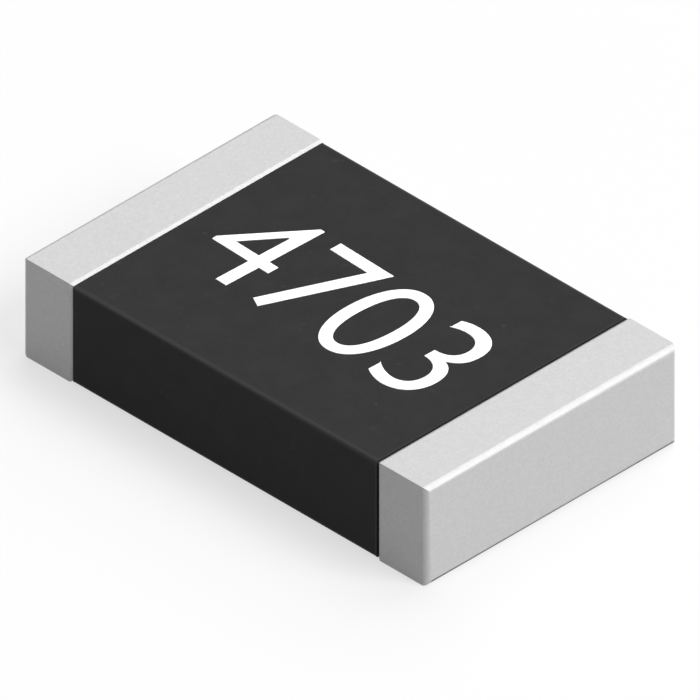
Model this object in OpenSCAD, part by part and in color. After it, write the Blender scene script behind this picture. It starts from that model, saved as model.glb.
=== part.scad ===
// Thick-film chip resistor: a ceramic chip with a printed film, a dark coat and two plated end caps.
// The chip lies along X, its film side faces up, and the origin is under its middle, on the board.

/* [Chip] */
// Length over both end caps
chip_l = 3.2; // [2.6:0.05:6.4]
// Width over the end caps
chip_w = 1.98; // [1.4:0.02:3.4]
// Height over the end caps
chip_h = 0.67; // [0.4:0.01:1.1]

/* [End caps] */
// Length of each end cap along the chip
cap_l = 0.40; // [0.3:0.01:0.6]
// Radius of the edges round a cap's end face
cap_edge_r = 0.036; // [0.012:0.001:0.06]
// Radius of the edges round a cap's inner rim
rim_edge_r = 0.028; // [0.012:0.001:0.06]
// Thickness of the outer tin layer
tin_t = 0.018; // [0.012:0.001:0.03]
// Thickness of the nickel barrier under the tin
nickel_t = 0.012; // [0.006:0.001:0.02]
// Thickness of the edge electrode under the nickel
edge_t = 0.010; // [0.005:0.001:0.02]

/* [Ceramic and electrodes] */
// Bevel along the underside of the ceramic, left by the scored line that it was snapped at
score_bevel = 0.03; // [0.01:0.005:0.06]
// Thickness of the printed electrodes
electrode_t = 0.010; // [0.005:0.001:0.02]
// Bare ceramic beside each long edge of an electrode
electrode_inset = 0.08; // [0.06:0.01:0.2]
// How far a top electrode runs past its cap's rim, under the coat
electrode_reach = 0.24; // [0.2:0.01:0.4]

/* [Film and glass] */
// Thickness of the resistive film
film_t = 0.010; // [0.005:0.001:0.016]
// Bare ceramic beside each long edge of the film
film_inset = 0.24; // [0.16:0.01:0.36]
// Length of film that laps onto each top electrode
film_lap = 0.12; // [0.06:0.01:0.18]
// Thickness of the glass over the film
glass_t = 0.010; // [0.005:0.001:0.016]
// How far the glass runs past the film's edges
glass_margin = 0.05; // [0.02:0.01:0.1]

/* [Trim cut] */
// Width of the laser's cut
trim_w = 0.04; // [0.02:0.005:0.08]
// How far the cut plunges in from the film's edge
trim_plunge = 0.56; // [0.2:0.02:0.7]
// How far it then runs along the film
trim_run = 0.50; // [0.2:0.02:0.7]
// Distance of the plunge from the middle of the chip
trim_offset = 0.30; // [0.1:0.02:0.4]

/* [Coat] */
// How far the coat lies below the caps, on the top and the underside
coat_step = 0.002; // [0.001:0.001:0.012]
// How far the coat's long sides stand out past the caps
coat_proud = 0.004; // [0:0.001:0.012]
// Radius of the coat's long edges and of its lips' inner edges
coat_edge_r = 0.032; // [0.008:0.001:0.036]
// Radius of the edges round each end of the coat, beside the caps
coat_end_r = 0.008; // [0.002:0.001:0.02]
// Width of the lip that the coat turns under each long edge
lip_w = 0.12; // [0.08:0.01:0.3]

/* [Hidden] */
$fn = 64;

// A cut runs this far past the face that it opens
beyond = chip_h;

// The layers of a cap, and how deep each one starts below the cap's outside
shell_t = tin_t + nickel_t + edge_t;
tin_depth = 0;
nickel_depth = tin_t;
edge_depth = tin_t + nickel_t;
rim_x = chip_l / 2 - cap_l;
end_rounding = min(cap_edge_r, shell_t);
rim_rounding = min(rim_edge_r, shell_t);

// A rounding smaller than this is left sharp
least_r = 0.001;

// The ceramic fills what the caps and the electrodes leave
ceramic_l = chip_l - 2 * shell_t;
ceramic_w = chip_w - 2 * shell_t;
ceramic_z0 = shell_t + electrode_t;
ceramic_z1 = chip_h - shell_t - electrode_t;
ceramic_h = ceramic_z1 - ceramic_z0;

// Electrodes and film, from the middle of the chip outwards
electrode_w = ceramic_w - 2 * electrode_inset;
electrode_x = rim_x - electrode_reach;
pad_x = rim_x + shell_t;
film_w = ceramic_w - 2 * film_inset;
film_x = electrode_x + film_lap;
glass_w = film_w + 2 * glass_margin;
glass_x = film_x + glass_margin;

// The coat's outside
coat_w = chip_w + 2 * coat_proud;
coat_h = chip_h - 2 * coat_step;
lip_t = ceramic_z0 - coat_step;
window_w = coat_w - 2 * lip_w;

// A rectangle about the origin with round corners
module round_rect(l, w, r) {
    if (r > 0) {
        square([l - 2 * r, w], center = true);
        square([l, w - 2 * r], center = true);
        for (x = [-1, 1], y = [-1, 1])
            translate([x * (l / 2 - r), y * (w / 2 - r)])
                circle(r);
    } else {
        square([l, w], center = true);
    }
}

// A rectangle about the origin with one radius at its rim, on the left, and one at its end
module cap_outline(l, w, rim_r, end_r) {
    translate([-l / 2 + rim_r, -w / 2])
        square([l - rim_r - end_r, w]);
    translate([-l / 2, -w / 2 + rim_r])
        square([l - end_r, w - 2 * rim_r]);
    translate([-l / 2 + rim_r, -w / 2 + end_r])
        square([l - rim_r, w - 2 * end_r]);
    for (y = [-1, 1]) {
        if (rim_r > 0)
            translate([-l / 2 + rim_r, y * (w / 2 - rim_r)])
                circle(rim_r);
        if (end_r > 0)
            translate([l / 2 - end_r, y * (w / 2 - end_r)])
                circle(end_r);
    }
}

// The same shape at the chip's left end
module left() {
    mirror([1, 0, 0])
        children();
}

// A block with its base at z, as long, wide and high as given
module slab(l, w, h, z) {
    translate([-l / 2, -w / 2, z])
        cube([l, w, h]);
}

// The radius that is left of a rounding so far below the cap's outside
function inner_r(r, depth) = r - depth > least_r ? r - depth : 0;

// The outside of a cap's layer: the edges of its end face and its rim are round, its long edges sharp
module cap_layer(depth) {
    l = cap_l - 2 * depth;
    w = chip_w - 2 * depth;
    h = chip_h - 2 * depth;
    rim_r = inner_r(rim_rounding, depth);
    end_r = inner_r(end_rounding, depth);
    translate([rim_x + cap_l / 2, 0, chip_h / 2])
        intersection() {
            rotate([90, 0, 0])
                linear_extrude(w, center = true)
                    cap_outline(l, h, rim_r, end_r);
            linear_extrude(h + beyond, center = true)
                cap_outline(l, w, rim_r, end_r);
        }
}

// A plate snapped out along lines scored in its underside
module ceramic_substrate() {
    color("white")
        intersection() {
            rotate([90, 0, 0])
                linear_extrude(ceramic_w, center = true)
                    snapped_section(ceramic_l);
            rotate([90, 0, 90])
                linear_extrude(ceramic_l + beyond, center = true)
                    snapped_section(ceramic_w);
        }
}

module snapped_section(w) {
    polygon([
        [-w / 2, ceramic_z1],
        [-w / 2, ceramic_z0 + score_bevel],
        [-w / 2 + score_bevel, ceramic_z0],
        [w / 2 - score_bevel, ceramic_z0],
        [w / 2, ceramic_z0 + score_bevel],
        [w / 2, ceramic_z1]
    ]);
}

// Silver printed under each end of the ceramic, wholly inside the cap
module right_bottom_electrode() {
    color("lightgray")
        translate([pad_x, -electrode_w / 2, ceramic_z0 - electrode_t])
            cube([ceramic_l / 2 - score_bevel - pad_x, electrode_w, electrode_t]);
}

module left_bottom_electrode() {
    left()
        right_bottom_electrode();
}

// Silver printed on each end of the ceramic, from its edge to under the film
module right_top_electrode() {
    color("lightgray")
        translate([electrode_x, -electrode_w / 2, ceramic_z1])
            cube([ceramic_l / 2 - electrode_x, electrode_w, electrode_t]);
}

module left_top_electrode() {
    left()
        right_top_electrode();
}

module top_electrodes() {
    right_top_electrode();
    left_top_electrode();
}

// A printed layer that lies low between the electrodes and steps up onto them
module stepped_layer(end_x, w, t) {
    difference() {
        slab(2 * end_x, w, electrode_t + t, ceramic_z1);
        slab(2 * (electrode_x - t), w + beyond, beyond, ceramic_z1 + t);
        top_electrodes();
    }
}

// The path of the laser: in from the film's near edge, then along it
module trim_cut() {
    plunge_y = -film_w / 2 + trim_plunge;
    start_y = -glass_w / 2 - beyond;
    translate([-trim_offset - trim_w / 2, start_y, ceramic_z1])
        cube([trim_w, plunge_y - start_y, beyond]);
    translate([-trim_offset - trim_w / 2, plunge_y - trim_w, ceramic_z1])
        cube([trim_run + trim_w, trim_w, beyond]);
}

module whole_film() {
    stepped_layer(film_x, film_w, film_t);
}

// The film that sets the resistance, trimmed to its value
module resistive_film() {
    color("dimgray")
        difference() {
            whole_film();
            trim_cut();
        }
}

// Glass fired over the film before the laser cuts both
module glass_coat() {
    color("darkolivegreen")
        difference() {
            stepped_layer(glass_x, glass_w, film_t + glass_t);
            whole_film();
            trim_cut();
        }
}

// The opening between the coat's two lips, with the lips' inner edges rounded
module underside_window() {
    translate([-window_w / 2, coat_step - beyond])
        square([window_w, beyond + lip_t]);
    for (side = [0, 1])
        mirror([side, 0])
            translate([window_w / 2, coat_step])
                difference() {
                    square(coat_edge_r);
                    translate([coat_edge_r, coat_edge_r])
                        circle(coat_edge_r);
                }
}

module coat_section() {
    difference() {
        translate([0, chip_h / 2])
            round_rect(coat_w, coat_h, coat_edge_r);
        underside_window();
    }
}

// Dark resin round the top and the long sides from cap to cap. It fills the trim cut, and its
// lips turn under the long edges, so that the ceramic is bare between them.
module protective_coat() {
    color([0.23, 0.23, 0.23])
        difference() {
            intersection() {
                rotate([90, 0, 90])
                    linear_extrude(2 * rim_x, center = true)
                        coat_section();
                linear_extrude(chip_h + beyond)
                    round_rect(2 * rim_x, coat_w, coat_end_r);
                translate([0, 0, chip_h / 2])
                    rotate([90, 0, 0])
                        linear_extrude(coat_w + beyond, center = true)
                            round_rect(2 * rim_x, coat_h, coat_end_r);
            }
            ceramic_substrate();
            top_electrodes();
            resistive_film();
            glass_coat();
        }
}

// What the layers of a cap are built up on
module cap_core() {
    ceramic_substrate();
    right_top_electrode();
    right_bottom_electrode();
}

// Silver dipped over the end, which joins the top and bottom electrodes
module right_edge_electrode() {
    color("silver")
        difference() {
            cap_layer(edge_depth);
            cap_core();
        }
}

module left_edge_electrode() {
    left()
        right_edge_electrode();
}

// Nickel plated over the silver, closed down to the ceramic at its rim
module right_nickel_barrier() {
    color("gray")
        difference() {
            cap_layer(nickel_depth);
            cap_layer(edge_depth);
            cap_core();
        }
}

module left_nickel_barrier() {
    left()
        right_nickel_barrier();
}

// Tin plated over the nickel, meeting the end of the coat at its rim
module right_tin_cap() {
    color([0.86, 0.86, 0.86])
        difference() {
            cap_layer(tin_depth);
            cap_layer(nickel_depth);
            cap_core();
        }
}

module left_tin_cap() {
    left()
        right_tin_cap();
}

ceramic_substrate();
left_bottom_electrode();
right_bottom_electrode();
left_top_electrode();
right_top_electrode();
resistive_film();
glass_coat();
protective_coat();
left_edge_electrode();
right_edge_electrode();
left_nickel_barrier();
right_nickel_barrier();
left_tin_cap();
right_tin_cap();
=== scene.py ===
import math

import bmesh
import bpy
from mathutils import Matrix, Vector


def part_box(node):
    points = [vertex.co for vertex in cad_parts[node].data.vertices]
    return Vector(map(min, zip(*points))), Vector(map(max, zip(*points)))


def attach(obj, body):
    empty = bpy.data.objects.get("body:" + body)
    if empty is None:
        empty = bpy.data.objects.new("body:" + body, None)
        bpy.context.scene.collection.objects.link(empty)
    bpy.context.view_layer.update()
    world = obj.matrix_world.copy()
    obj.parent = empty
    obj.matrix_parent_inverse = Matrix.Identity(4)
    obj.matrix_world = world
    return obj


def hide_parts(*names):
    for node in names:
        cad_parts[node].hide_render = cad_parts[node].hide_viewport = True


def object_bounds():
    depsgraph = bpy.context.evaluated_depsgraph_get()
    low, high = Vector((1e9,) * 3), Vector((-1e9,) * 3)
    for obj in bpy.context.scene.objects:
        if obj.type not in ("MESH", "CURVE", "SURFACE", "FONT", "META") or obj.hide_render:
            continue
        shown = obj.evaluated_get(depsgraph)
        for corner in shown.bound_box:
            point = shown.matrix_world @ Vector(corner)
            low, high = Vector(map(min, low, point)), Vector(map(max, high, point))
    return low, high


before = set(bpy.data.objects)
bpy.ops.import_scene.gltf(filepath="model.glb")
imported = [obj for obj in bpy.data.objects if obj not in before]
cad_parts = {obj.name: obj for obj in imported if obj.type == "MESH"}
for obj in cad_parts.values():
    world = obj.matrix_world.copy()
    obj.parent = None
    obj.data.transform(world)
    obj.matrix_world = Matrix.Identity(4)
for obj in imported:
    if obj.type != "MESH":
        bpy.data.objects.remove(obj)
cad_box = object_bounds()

# Ceramic substrate: a plate of white alumina, pressed, fired and snapped out of a scored sheet.
# The chip is built up on it. Only its underside shows, bare and matt, between the coat's lips.
micron = 1e-6


def new_group(name, inputs, outputs):
    """A shader node group with the named number inputs and outputs."""
    group = bpy.data.node_groups.new(name, "ShaderNodeTree")
    for socket, value in inputs.items():
        made = group.interface.new_socket(socket, in_out="INPUT", socket_type="NodeSocketFloat")
        made.default_value = value
    for socket in outputs:
        group.interface.new_socket(socket, in_out="OUTPUT", socket_type="NodeSocketFloat")
    entry = group.nodes.new("NodeGroupInput")
    leave = group.nodes.new("NodeGroupOutput")
    return group, entry, leave


def fine_grain_group():
    """Fine grain of a fired, cast or printed surface, so many microns across."""
    group, entry, leave = new_group(
        "fine_grain", {"Grain": 20 * micron, "Low": 0.0, "High": 1.0}, ["Value", "Height"])
    nodes, links = group.nodes, group.links
    where = nodes.new("ShaderNodeTexCoord")
    per_metre = nodes.new("ShaderNodeMath")
    per_metre.operation = "DIVIDE"
    per_metre.inputs[0].default_value = 1.0
    noise = nodes.new("ShaderNodeTexNoise")
    noise.inputs["Detail"].default_value = 4.0
    noise.inputs["Roughness"].default_value = 0.6
    spread = nodes.new("ShaderNodeMapRange")
    spread.inputs["From Min"].default_value = 0.3
    spread.inputs["From Max"].default_value = 0.7
    links.new(entry.outputs["Grain"], per_metre.inputs[1])
    links.new(where.outputs["Object"], noise.inputs["Vector"])
    links.new(per_metre.outputs[0], noise.inputs["Scale"])
    links.new(noise.outputs["Fac"], spread.inputs["Value"])
    links.new(entry.outputs["Low"], spread.inputs["To Min"])
    links.new(entry.outputs["High"], spread.inputs["To Max"])
    links.new(spread.outputs["Result"], leave.inputs["Value"])
    links.new(noise.outputs["Fac"], leave.inputs["Height"])
    return group


def new_material(name, metallic, specular):
    """A material with its shader, and the constants that are the same all over it."""
    material = bpy.data.materials.new(name)
    material.use_nodes = True
    shader = material.node_tree.nodes["Principled BSDF"]
    shader.inputs["Metallic"].default_value = metallic
    shader.inputs["Specular IOR Level"].default_value = specular
    return material, shader


def add_group(material, group, **values):
    """Places a node group in a material, with its own values."""
    placed = material.node_tree.nodes.new("ShaderNodeGroup")
    placed.node_tree = group
    for socket, value in values.items():
        placed.inputs[socket].default_value = value
    return placed


def tint(material, shader, mask, dark, light):
    """Colours the surface from dark to light as the mask rises."""
    mix = material.node_tree.nodes.new("ShaderNodeMix")
    mix.data_type = "RGBA"
    mix.inputs["A"].default_value = (*dark, 1.0)
    mix.inputs["B"].default_value = (*light, 1.0)
    material.node_tree.links.new(mask, mix.inputs["Factor"])
    material.node_tree.links.new(mix.outputs["Result"], shader.inputs["Base Color"])


def relief(material, shader, height, depth, strength):
    """Raises the surface by the height, to a depth in metres."""
    bump = material.node_tree.nodes.new("ShaderNodeBump")
    bump.inputs["Strength"].default_value = strength
    bump.inputs["Distance"].default_value = depth
    material.node_tree.links.new(height, bump.inputs["Height"])
    material.node_tree.links.new(bump.outputs["Normal"], shader.inputs["Normal"])


def roughen(material, shader, value):
    """Makes the surface more matt as the value rises."""
    material.node_tree.links.new(value, shader.inputs["Roughness"])


def dress(node, material):
    """Gives a CAD node its material."""
    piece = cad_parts[node]
    piece.data.materials.clear()
    piece.data.materials.append(material)


fine_grain = fine_grain_group()

alumina, alumina_shader = new_material("alumina", metallic=0.0, specular=0.4)
alumina_grain = add_group(alumina, fine_grain, Grain=9 * micron, Low=0.0, High=1.0)
alumina_gloss = add_group(alumina, fine_grain, Grain=40 * micron, Low=0.62, High=0.78)
tint(alumina, alumina_shader, alumina_grain.outputs["Value"],
     dark=(0.72, 0.71, 0.68), light=(0.84, 0.83, 0.80))
roughen(alumina, alumina_shader, alumina_gloss.outputs["Value"])
relief(alumina, alumina_shader, alumina_grain.outputs["Height"], depth=2 * micron, strength=0.5)
dress("ceramic_substrate", alumina)

# Electrodes: silver paste, screen-printed on the ceramic's two faces and dipped over its ends,
# then fired to a pale matt metal with fine pores. The caps and the coat hide all of it.
silver, silver_shader = new_material("fired_silver", metallic=1.0, specular=0.5)
silver_pores = add_group(silver, fine_grain, Grain=14 * micron, Low=0.45, High=0.65)
tint(silver, silver_shader, silver_pores.outputs["Height"],
     dark=(0.66, 0.65, 0.61), light=(0.80, 0.79, 0.75))
roughen(silver, silver_shader, silver_pores.outputs["Value"])
relief(silver, silver_shader, silver_pores.outputs["Height"], depth=3 * micron, strength=0.6)
for end in ("left", "right"):
    for place in ("bottom", "top", "edge"):
        dress(f"{end}_{place}_electrode", silver)

# Resistive film: a paste of dark metal oxide in glass, printed between the top electrodes and
# fired, then cut by a laser until its resistance is right. It is sealed in under the glass.
film, film_shader = new_material("oxide_film", metallic=0.0, specular=0.5)
film_grain = add_group(film, fine_grain, Grain=12 * micron, Low=0.35, High=0.55)
tint(film, film_shader, film_grain.outputs["Height"],
     dark=(0.012, 0.012, 0.014), light=(0.045, 0.045, 0.05))
roughen(film, film_shader, film_grain.outputs["Value"])
relief(film, film_shader, film_grain.outputs["Height"], depth=2 * micron, strength=0.4)
dress("resistive_film", film)

# Glass coat: a thin glaze fired over the film so that the laser cuts it cleanly. It is greenish,
# with fine bubbles, and lies wholly under the coat.
glaze, glaze_shader = new_material("green_glaze", metallic=0.0, specular=0.5)
glaze_bubbles = add_group(glaze, fine_grain, Grain=25 * micron, Low=0.08, High=0.2)
tint(glaze, glaze_shader, glaze_bubbles.outputs["Height"],
     dark=(0.06, 0.09, 0.06), light=(0.14, 0.19, 0.13))
roughen(glaze, glaze_shader, glaze_bubbles.outputs["Value"])
relief(glaze, glaze_shader, glaze_bubbles.outputs["Height"], depth=1 * micron, strength=0.3)
dress("glass_coat", glaze)


# Nickel barriers: nickel plated over the silver so that solder can't eat it. A warm grey metal
# with a nodular grain, closed in on all sides by the tin.
def crystal_group():
    """Grains of a plated metal: each has a tone of its own and a low dome."""
    group, entry, leave = new_group(
        "crystals", {"Grain": 10 * micron, "Low": 0.0, "High": 1.0}, ["Tone", "Height"])
    nodes, links = group.nodes, group.links
    where = nodes.new("ShaderNodeTexCoord")
    per_metre = nodes.new("ShaderNodeMath")
    per_metre.operation = "DIVIDE"
    per_metre.inputs[0].default_value = 1.0
    cells = nodes.new("ShaderNodeTexVoronoi")
    cells.feature = "SMOOTH_F1"
    cells.inputs["Smoothness"].default_value = 0.35
    grey = nodes.new("ShaderNodeRGBToBW")
    spread = nodes.new("ShaderNodeMapRange")
    dome = nodes.new("ShaderNodeMath")
    dome.operation = "SUBTRACT"
    dome.inputs[0].default_value = 1.0
    links.new(entry.outputs["Grain"], per_metre.inputs[1])
    links.new(where.outputs["Object"], cells.inputs["Vector"])
    links.new(per_metre.outputs[0], cells.inputs["Scale"])
    links.new(cells.outputs["Color"], grey.inputs["Color"])
    links.new(grey.outputs["Val"], spread.inputs["Value"])
    links.new(entry.outputs["Low"], spread.inputs["To Min"])
    links.new(entry.outputs["High"], spread.inputs["To Max"])
    links.new(cells.outputs["Distance"], dome.inputs[1])
    links.new(spread.outputs["Result"], leave.inputs["Tone"])
    links.new(dome.outputs[0], leave.inputs["Height"])
    return group


crystals = crystal_group()

nickel, nickel_shader = new_material("plated_nickel", metallic=1.0, specular=0.5)
nickel_nodules = add_group(nickel, crystals, Grain=8 * micron, Low=0.28, High=0.4)
tint(nickel, nickel_shader, nickel_nodules.outputs["Height"],
     dark=(0.46, 0.44, 0.41), light=(0.62, 0.60, 0.56))
roughen(nickel, nickel_shader, nickel_nodules.outputs["Tone"])
relief(nickel, nickel_shader, nickel_nodules.outputs["Height"], depth=2 * micron, strength=0.5)
for end in ("left", "right"):
    dress(f"{end}_nickel_barrier", nickel)


# Protective coat: dark filled resin, printed over the glass, round the long sides and a little
# way under them, then baked hard. Its edges are softly rounded and its face is dull satin.
coat_edge_r = 32 * micron
coat_end_r = 8 * micron
coat_segments = 8
lip_w = 120 * micron
coat_low, coat_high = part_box("protective_coat")
ceramic_low, ceramic_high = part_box("ceramic_substrate")
paste_low, paste_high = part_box("right_top_electrode")
glass_low, glass_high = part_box("glass_coat")


def add_block(name, low, high):
    """A new block between two corners, left in edit mode with nothing selected."""
    bpy.ops.object.select_all(action="DESELECT")
    bpy.ops.mesh.primitive_cube_add(size=1, location=(low + high) / 2, scale=high - low)
    block = bpy.context.object
    block.name = block.data.name = name
    bpy.ops.object.transform_apply(location=True, rotation=True, scale=True)
    bpy.ops.object.mode_set(mode="EDIT")
    bpy.ops.mesh.select_all(action="DESELECT")
    return block


def pick(block, kind, wanted):
    """Selects only the edges or faces of a block in edit mode that are wanted."""
    bpy.ops.mesh.select_mode(type=kind)
    bpy.ops.mesh.select_all(action="DESELECT")
    shape = bmesh.from_edit_mesh(block.data)
    for part in (shape.edges if kind == "EDGE" else shape.faces):
        part.select_set(wanted(part))
    shape.select_flush_mode()
    bmesh.update_edit_mesh(block.data)


def near(a, b):
    """True if two places are the same to half a micron."""
    return abs(a - b) < 0.5 * micron


def on_plane(edge, axis, place):
    """True if both ends of an edge lie on the plane across that axis."""
    return all(near(vertex.co[axis], place) for vertex in edge.verts)


def weigh(block, share, wanted):
    """Gives the wanted edges their share of the rounding."""
    pick(block, "EDGE", wanted)
    bpy.ops.transform.edge_bevelweight(value=share)


def round_edges(block, radius, segments):
    """Leaves edit mode and rounds each edge to the radius times its share."""
    bpy.ops.object.mode_set(mode="OBJECT")
    rounding = block.modifiers.new("rounding", "BEVEL")
    rounding.limit_method = "WEIGHT"
    rounding.width = radius
    rounding.segments = segments
    rounding.use_clamp_overlap = False
    bpy.ops.object.modifier_apply(modifier=rounding.name)


# A face is square to an axis if its normal has at least this share along it.
square_on = 0.9999


def close_up(block):
    """Leaves edit mode with outward faces, smooth over the rounded edges and flat elsewhere."""
    bpy.ops.mesh.select_all(action="SELECT")
    bpy.ops.mesh.remove_doubles(threshold=1 * micron)
    bpy.ops.mesh.normals_make_consistent(inside=False)
    bpy.ops.object.mode_set(mode="OBJECT")
    bpy.ops.object.shade_smooth_by_angle(angle=math.radians(35))
    bpy.ops.object.mode_set(mode="EDIT")
    pick(block, "FACE", lambda f: max(map(abs, f.normal)) > square_on)
    bpy.ops.mesh.faces_shade_flat()
    bpy.ops.object.mode_set(mode="OBJECT")


coat = add_block("coat", coat_low, coat_high)
weigh(coat, 1, lambda e: not near(e.verts[0].co.x, e.verts[1].co.x))
weigh(coat, coat_end_r / coat_edge_r, lambda e: near(e.verts[0].co.x, e.verts[1].co.x))
round_edges(coat, coat_edge_r, coat_segments)

# What the coat leaves room for: the ceramic, the electrodes and the glass, and the bare underside.
run_past = 100 * micron
hollow_low = Vector((coat_low.x - run_past, ceramic_low.y, ceramic_low.z))
hollow_high = Vector((coat_high.x + run_past, ceramic_high.y, ceramic_high.z))
hollow = add_block("hollow", hollow_low, hollow_high)


def step_out(facing, length, width, depth):
    """Draws a smaller block out of the hollow's top (facing 1) or underside (facing -1)."""
    shape = bmesh.from_edit_mesh(hollow.data)
    outermost = max(facing * vertex.co.z for vertex in shape.verts)
    pick(hollow, "FACE", lambda f: near(facing * f.calc_center_median().z, outermost))
    corners = [vertex.co for vertex in shape.verts if vertex.select]
    now_l = max(c.x for c in corners) - min(c.x for c in corners)
    now_w = max(c.y for c in corners) - min(c.y for c in corners)
    bpy.ops.mesh.extrude_region_move()
    bpy.ops.transform.resize(value=(length / now_l, width / now_w, 1))
    bpy.ops.mesh.extrude_region_move(TRANSFORM_OT_translate={"value": (0, 0, facing * depth)})


hollow_l = hollow_high.x - hollow_low.x
window_w = coat_high.y - coat_low.y - 2 * lip_w
step_out(1, hollow_l, paste_high.y - paste_low.y, paste_high.z - paste_low.z)
step_out(1, glass_high.x - glass_low.x, glass_high.y - glass_low.y, glass_high.z - paste_high.z)
step_out(-1, hollow_l, window_w, ceramic_low.z + run_past)
bpy.ops.object.mode_set(mode="OBJECT")

bpy.context.view_layer.objects.active = coat
carve = coat.modifiers.new("carve", "BOOLEAN")
carve.operation = "DIFFERENCE"
carve.solver = "EXACT"
carve.object = hollow
carve.double_threshold = 0.01 * micron
bpy.ops.object.modifier_apply(modifier=carve.name)
bpy.data.objects.remove(hollow)


def ends_lip(edge):
    """True for the lower edges along which the two lips end under the chip."""
    on_window = all(near(abs(vertex.co.y), window_w / 2) for vertex in edge.verts)
    return on_window and on_plane(edge, 2, coat_low.z)


bpy.ops.object.select_all(action="DESELECT")
coat.select_set(True)
bpy.ops.object.mode_set(mode="EDIT")
pick(coat, "EDGE", ends_lip)
bpy.ops.mesh.bevel(offset=coat_edge_r, segments=coat_segments, profile=0.5, affect="EDGES",
                   clamp_overlap=False)
close_up(coat)


def edge_wear_and_painted_light_group():
    """Mask of the edges round the long sides, or, endways, round the ends: most halfway round.

    Under is the same mask on the faces that turn under alone, and it fades towards the underside. Mask is
    used to lighten edges, partly as wear and partly as a painted highlight; Under is used to darken them as
    a painted shade.
    """
    group, entry, leave = new_group("edge_wear_and_painted_light", {"Amount": 1.0, "Endways": 0.0}, ["Mask", "Under"])
    nodes, links = group.nodes, group.links
    where = nodes.new("ShaderNodeTexCoord")
    shares = nodes.new("ShaderNodeSeparateXYZ")
    chosen = nodes.new("ShaderNodeMix")
    faces = nodes.new("ShaderNodeNewGeometry")
    face_shares = nodes.new("ShaderNodeSeparateXYZ")
    links.new(faces.outputs["True Normal"], face_shares.inputs["Vector"])
    links.new(where.outputs["Normal"], shares.inputs["Vector"])
    links.new(entry.outputs["Endways"], chosen.inputs["Factor"])
    links.new(shares.outputs["Y"], chosen.inputs["A"])
    links.new(shares.outputs["X"], chosen.inputs["B"])

    def arithmetic(operation, a, b):
        """One step of arithmetic on two sockets or numbers."""
        node = nodes.new("ShaderNodeMath")
        node.operation = operation
        for socket, value in zip(node.inputs, (a, b)):
            if isinstance(value, float):
                socket.default_value = value
            else:
                links.new(value, socket)
        return node.outputs[0]

    squared = arithmetic("POWER", arithmetic("ABSOLUTE", chosen.outputs["Result"], 0.0), 2.0)
    product = arithmetic("MULTIPLY", squared, arithmetic("SUBTRACT", 1.0, squared))
    halfway = arithmetic("MULTIPLY", arithmetic("SQRT", product, 0.0), 2.0)
    mask = arithmetic("MULTIPLY", halfway, entry.outputs["Amount"])
    least_dip = 0.02
    turns_under = arithmetic("LESS_THAN", face_shares.outputs["Z"], -least_dip)
    fading = arithmetic("MULTIPLY", turns_under, arithmetic("ADD", face_shares.outputs["Z"], 1.0))
    links.new(mask, leave.inputs["Mask"])
    links.new(arithmetic("MULTIPLY", mask, fading), leave.inputs["Under"])
    return group


def overlay(material, shader, mask, colour):
    """Lays a second colour over the first where the mask rises."""
    nodes, links = material.node_tree.nodes, material.node_tree.links
    below = shader.inputs["Base Color"].links[0].from_socket
    mix = nodes.new("ShaderNodeMix")
    mix.data_type = "RGBA"
    mix.inputs["B"].default_value = (*colour, 1.0)
    links.new(mask, mix.inputs["Factor"])
    links.new(below, mix.inputs["A"])
    links.new(mix.outputs["Result"], shader.inputs["Base Color"])


edge_wear_and_painted_light = edge_wear_and_painted_light_group()

resin, resin_shader = new_material("dark_resin", metallic=0.0, specular=0.07)
resin_filler = add_group(resin, fine_grain, Grain=16 * micron, Low=0.5, High=0.62)
resin_cloud = add_group(resin, fine_grain, Grain=160 * micron, Low=0.0, High=1.0)
# Above zero only in the palest few cells, which show as specks.
resin_specks = add_group(resin, crystals, Grain=26 * micron, Low=-9.0, High=1.0)
# Lighter rounded long edges: partly wear, partly a painted highlight along the fillets.
resin_wear_and_highlight = add_group(resin, edge_wear_and_painted_light, Amount=0.9, Endways=0.0)
tint(resin, resin_shader, resin_cloud.outputs["Value"],
     dark=(0.0164, 0.0164, 0.0164), light=(0.02, 0.02, 0.02))
overlay(resin, resin_shader, resin_specks.outputs["Tone"], colour=(0.029, 0.029, 0.029))
overlay(resin, resin_shader, resin_wear_and_highlight.outputs["Mask"], colour=(0.053, 0.053, 0.053))
roughen(resin, resin_shader, resin_filler.outputs["Value"])
relief(resin, resin_shader, resin_filler.outputs["Height"], depth=1 * micron, strength=0.2)
coat.data.materials.append(resin)
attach(coat, "root")
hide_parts("protective_coat")

# End caps: matt tin, plated over the nickel on all five sides of each end. The end edges and the
# inner rim are rounded, the long edges are crisp, and the rim closes down beside the coat. The rounded
# edges are coloured lighter, partly as wear and partly as a painted highlight, and where they turn
# under they are coloured dark, as a painted shade.
cap_edge_r = 36 * micron
rim_edge_r = 28 * micron
cap_segments = 12
tin_t = 18 * micron
cap_low, cap_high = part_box("right_tin_cap")
inner_low, inner_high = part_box("right_nickel_barrier")

right_cap = add_block("right_cap", cap_low, cap_high)
weigh(right_cap, 1, lambda e: on_plane(e, 0, cap_high.x))
weigh(right_cap, rim_edge_r / cap_edge_r, lambda e: on_plane(e, 0, cap_low.x))
round_edges(right_cap, cap_edge_r, cap_segments)
bpy.ops.object.mode_set(mode="EDIT")


def fit_mouth(low, high):
    """Stretches the selected face to the given width and height."""
    shape = bmesh.from_edit_mesh(right_cap.data)
    corners = [vertex.co for vertex in shape.verts if vertex.select]
    now_low = Vector(map(min, *corners))
    now_high = Vector(map(max, *corners))
    centre = (now_low + now_high) / 2
    grow = (1, (high.y - low.y) / (now_high.y - now_low.y), (high.z - low.z) / (now_high.z - now_low.z))
    bpy.ops.transform.resize(value=grow, center_override=centre)
    bpy.ops.transform.translate(value=(0, (low.y + high.y) / 2 - centre.y, (low.z + high.z) / 2 - centre.z))


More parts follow.
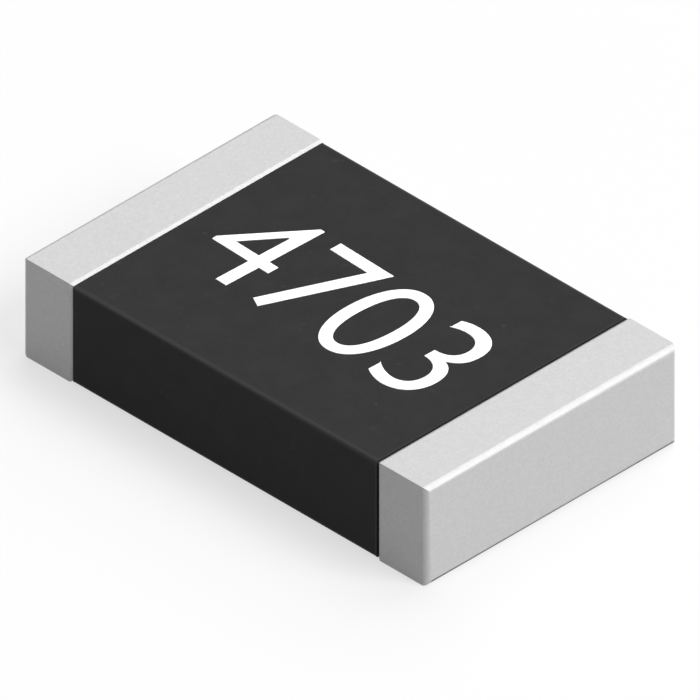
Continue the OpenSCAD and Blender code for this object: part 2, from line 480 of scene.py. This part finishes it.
# The mouth closes down on the ceramic and its electrodes, and widens behind the rim for the nickel.
core_low = Vector((0, ceramic_low.y, ceramic_low.z))
core_high = Vector((0, ceramic_high.y, paste_high.z))
pick(right_cap, "FACE", lambda f: f.normal.x < -square_on and near(f.calc_center_median().x, cap_low.x))
bpy.ops.mesh.extrude_region_move()
fit_mouth(core_low, core_high)
bpy.ops.mesh.extrude_region_move(TRANSFORM_OT_translate={"value": (tin_t, 0, 0)})
bpy.ops.mesh.extrude_region_move()
fit_mouth(inner_low, inner_high)
bpy.ops.mesh.extrude_region_move(TRANSFORM_OT_translate={"value": (inner_high.x - inner_low.x, 0, 0)})
close_up(right_cap)

tin, tin_shader = new_material("matt_tin", metallic=0.3, specular=0.5)
tin_grain = add_group(tin, crystals, Grain=11 * micron, Low=0.0, High=1.0)
tin_gloss = add_group(tin, fine_grain, Grain=60 * micron, Low=0.54, High=0.62)
# Lighter rounded edges: partly wear, partly a painted highlight along the fillets.
tin_wear_and_highlight = add_group(tin, edge_wear_and_painted_light, Amount=0.32, Endways=1.0)
# Painted shade: the rounded edges that turn under are coloured dark, as if in shade.
tin_painted_shade_under = add_group(tin, edge_wear_and_painted_light, Amount=3.0, Endways=1.0)
tint(tin, tin_shader, tin_grain.outputs["Tone"],
     dark=(0.40, 0.40, 0.40), light=(0.455, 0.455, 0.455))
overlay(tin, tin_shader, tin_wear_and_highlight.outputs["Mask"], colour=(0.55, 0.55, 0.55))
overlay(tin, tin_shader, tin_painted_shade_under.outputs["Under"], colour=(0.06, 0.06, 0.06))
roughen(tin, tin_shader, tin_gloss.outputs["Value"])
relief(tin, tin_shader, tin_grain.outputs["Height"], depth=1 * micron, strength=0.25)
right_cap.data.materials.append(tin)

left_cap = right_cap.copy()
left_cap.data = right_cap.data.copy()
left_cap.name = left_cap.data.name = "left_cap"
bpy.context.collection.objects.link(left_cap)
bpy.ops.object.select_all(action="DESELECT")
left_cap.select_set(True)
bpy.context.view_layer.objects.active = left_cap
left_cap.rotation_euler = (0, 0, math.pi)
bpy.ops.object.transform_apply(location=True, rotation=True, scale=True)
for cap, node in ((right_cap, "right_tin_cap"), (left_cap, "left_tin_cap")):
    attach(cap, "root")
    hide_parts(node)

# Marking: four plain digits of white ink, the code for a value, printed on the coat and baked. The
# ink stands a few microns proud, rounds over at its edges, and lies a touch askew on the chip.
digit_h = 765 * micron
digit_w = 440 * micron
digit_pitch = 488 * micron
ink_t = 4 * micron
askew = math.radians(-2)
off_middle = -30 * micron
# The built-in font's own measures, in its units, and how its strokes are rounded, thinned and joined.
font_digit_h = 0.682
font_digit_w = 0.424
font_pitch = 0.5
font_rim = 0.004
font_thin = 0.008
font_join = 1e-5
widen = digit_w / font_digit_w
bpy.ops.object.select_all(action="DESELECT")
bpy.ops.object.text_add()
marking = bpy.context.object
marking.name = "marking"
marking.data.body = "4703"
marking.data.align_x = "CENTER"
marking.data.space_character = digit_pitch / (font_pitch * widen)
marking.data.fill_mode = "BOTH"
marking.data.resolution_u = 16
marking.data.bevel_depth = font_rim
marking.data.bevel_resolution = 2
marking.data.offset = -font_thin - font_rim
bpy.ops.object.convert(target="MESH")
marking.data.name = "marking"
bpy.ops.object.mode_set(mode="EDIT")
bpy.ops.mesh.select_all(action="SELECT")
bpy.ops.mesh.remove_doubles(threshold=font_join)
bpy.ops.mesh.normals_make_consistent(inside=False)
bpy.ops.object.mode_set(mode="OBJECT")
marking.location = (0, -font_digit_h / 2, 0)
bpy.ops.object.transform_apply(location=True, rotation=True, scale=True)
marking.scale = (widen, digit_h / font_digit_h, ink_t / font_rim)
bpy.ops.object.transform_apply(location=True, rotation=True, scale=True)
marking.rotation_euler = (0, 0, askew)
marking.location = (0, off_middle, coat_high.z)
bpy.ops.object.transform_apply(location=True, rotation=True, scale=True)
bpy.ops.object.shade_smooth_by_angle(angle=math.radians(50))

ink, ink_shader = new_material("white_ink", metallic=0.0, specular=0.3)
ink_grain = add_group(ink, fine_grain, Grain=14 * micron, Low=0.5, High=0.65)
tint(ink, ink_shader, ink_grain.outputs["Height"],
     dark=(0.83, 0.83, 0.83), light=(0.92, 0.92, 0.92))
roughen(ink, ink_shader, ink_grain.outputs["Value"])
relief(ink, ink_shader, ink_grain.outputs["Height"], depth=1 * micron, strength=0.2)
marking.data.materials.append(ink)
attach(marking, "root")

# Floor: a plain pale sheet that the chip lies on, just under its caps. It is lit from below too,
# as on a light table, so that the chip's shadow on it is faint and its sides are evenly lit.
floor_w = 0.4
floor_gap = 0.5 * micron
bpy.ops.object.select_all(action="DESELECT")
bpy.ops.mesh.primitive_plane_add(size=floor_w, location=(0, 0, -floor_gap))
floor = bpy.context.object
floor.name = "floor"
pale, pale_shader = new_material("pale_sheet", metallic=0.0, specular=0.1)
pale_shader.inputs["Base Color"].default_value = (0.2, 0.2, 0.2, 1.0)
pale_shader.inputs["Emission Color"].default_value = (1.0, 1.0, 1.0, 1.0)
pale_shader.inputs["Emission Strength"].default_value = 0.67
pale_shader.inputs["Roughness"].default_value = 0.9
floor.data.materials.append(pale)

# Studio light: a soft box high on the right lights the top and the right end and shines along the
# rounded edges, a broad one above and behind fills in, and the room is dim but looks white.
middle = (cad_box[0] + cad_box[1]) / 2


def add_soft_box(name, towards, distance, size, brightness):
    """A square light that faces the chip, with the brightness of its face."""
    data = bpy.data.lights.new(name, "AREA")
    data.shape = "SQUARE"
    data.size = size
    data.energy = brightness * math.pi * size ** 2
    lamp = bpy.data.objects.new(name, data)
    direction = Vector(towards).normalized()
    lamp.location = middle + direction * distance
    lamp.rotation_euler = direction.to_track_quat("Z", "Y").to_euler()
    lamp.visible_camera = False
    bpy.context.scene.collection.objects.link(lamp)


add_soft_box("key", towards=(0.95, 0.28, 1.0), distance=0.24, size=0.132, brightness=14.7)
add_soft_box("overhead", towards=(-0.25, 0.7, 1.0), distance=0.24, size=0.24, brightness=3.36)

room = bpy.data.worlds.new("room")
bpy.context.scene.world = room
room.use_nodes = True
nodes, links = room.node_tree.nodes, room.node_tree.links
dim = nodes["Background"]
dim.inputs["Color"].default_value = (1, 1, 1, 1)
dim.inputs["Strength"].default_value = 0.02
white = nodes.new("ShaderNodeBackground")
white.inputs["Color"].default_value = (1, 1, 1, 1)
ray = nodes.new("ShaderNodeLightPath")
seen = nodes.new("ShaderNodeMixShader")
links.new(ray.outputs["Is Camera Ray"], seen.inputs["Fac"])
links.new(dim.outputs["Background"], seen.inputs[1])
links.new(white.outputs["Background"], seen.inputs[2])
links.new(seen.outputs["Shader"], nodes["World Output"].inputs["Surface"])

# Camera: it has no perspective and looks down at the middle of the chip, equally along all three
# axes, with the right end, the near long side and the marked top in view.
picture_w = 3.911e-3
camera_distance = 0.02
camera_data = bpy.data.cameras.new("camera")
camera_data.type = "ORTHO"
camera_data.ortho_scale = picture_w
camera_data.clip_start = 1e-4
camera_data.clip_end = 1.0
camera = bpy.data.objects.new("camera", camera_data)
back = Vector((1, -1, 1)).normalized()
camera.location = middle + back * camera_distance
camera.rotation_euler = back.to_track_quat("Z", "Y").to_euler()
bpy.context.scene.collection.objects.link(camera)
bpy.context.scene.camera = camera
bpy.context.scene.view_settings.view_transform = "Standard"
